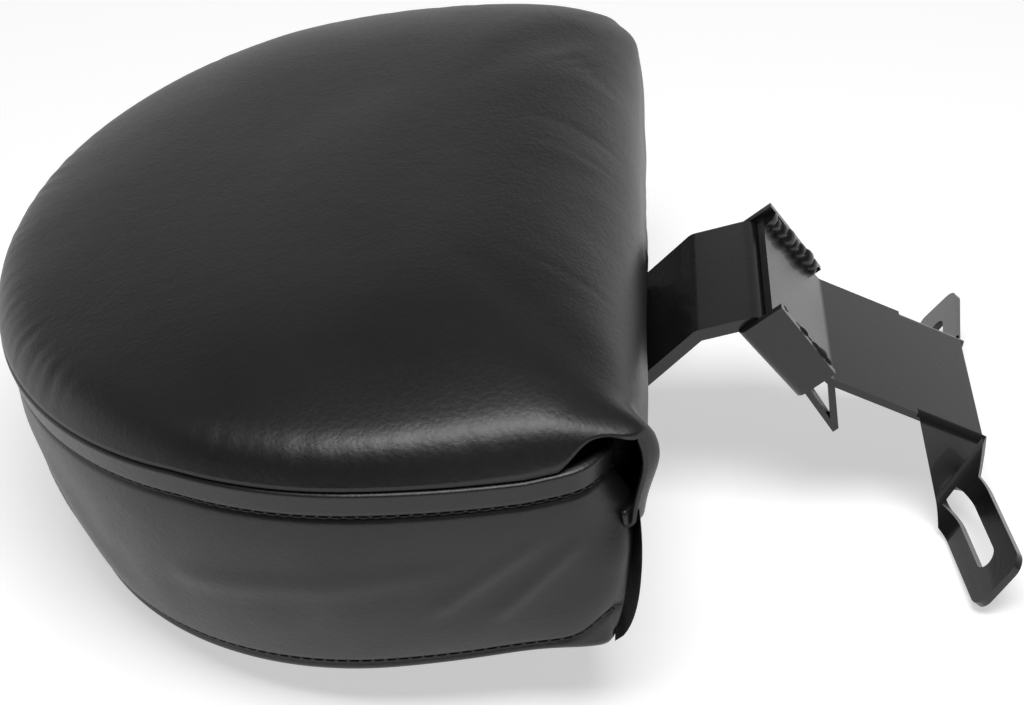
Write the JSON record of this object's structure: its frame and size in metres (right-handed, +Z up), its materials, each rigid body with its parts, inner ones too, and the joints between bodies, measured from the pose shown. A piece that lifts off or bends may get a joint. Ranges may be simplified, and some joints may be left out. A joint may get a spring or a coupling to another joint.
{
  "type": "plug-in rider backrest",
  "caption": "Half-moon padded backrest in a sewn black cover on a bent flat bar that plugs into a pocket on a folded bracket with slotted ears.",
  "frame": {"origin": "middle of the footprint, on the floor that the part lies on", "axes": "+X from the pad's round tip to the bracket, +Y across the part, +Z up from the floor"},
  "size_m": [0.3182, 0.2842, 0.1163],
  "materials": {
    "leather_black": "semi-gloss grain",
    "foam": "open cell foam",
    "board": "plain board",
    "black_coated_steel": "semi-gloss powder coat",
    "zinc_steel": "zinc plated"
  },
  "bodies": {
    "bracket": {"mounting_bracket": "black_coated_steel", "pocket_channel": "black_coated_steel", "channel_welds": "black_coated_steel"},
    "backrest": {"cover_front_panel": "leather_black", "cover_side_band": "leather_black", "cover_back_panel": "leather_black", "foam_core": "foam", "backing_board": "board", "support_bar": "black_coated_steel", "bar_screws": "zinc_steel", "tee_nuts": "zinc_steel"}
  },
  "joints": [
    {"name": "plug_slide", "type": "slide", "parent": "bracket", "child": "backrest", "axis": [-0.6483, 0, 0.7614], "range_m": [0, 0.032]}
  ]
}
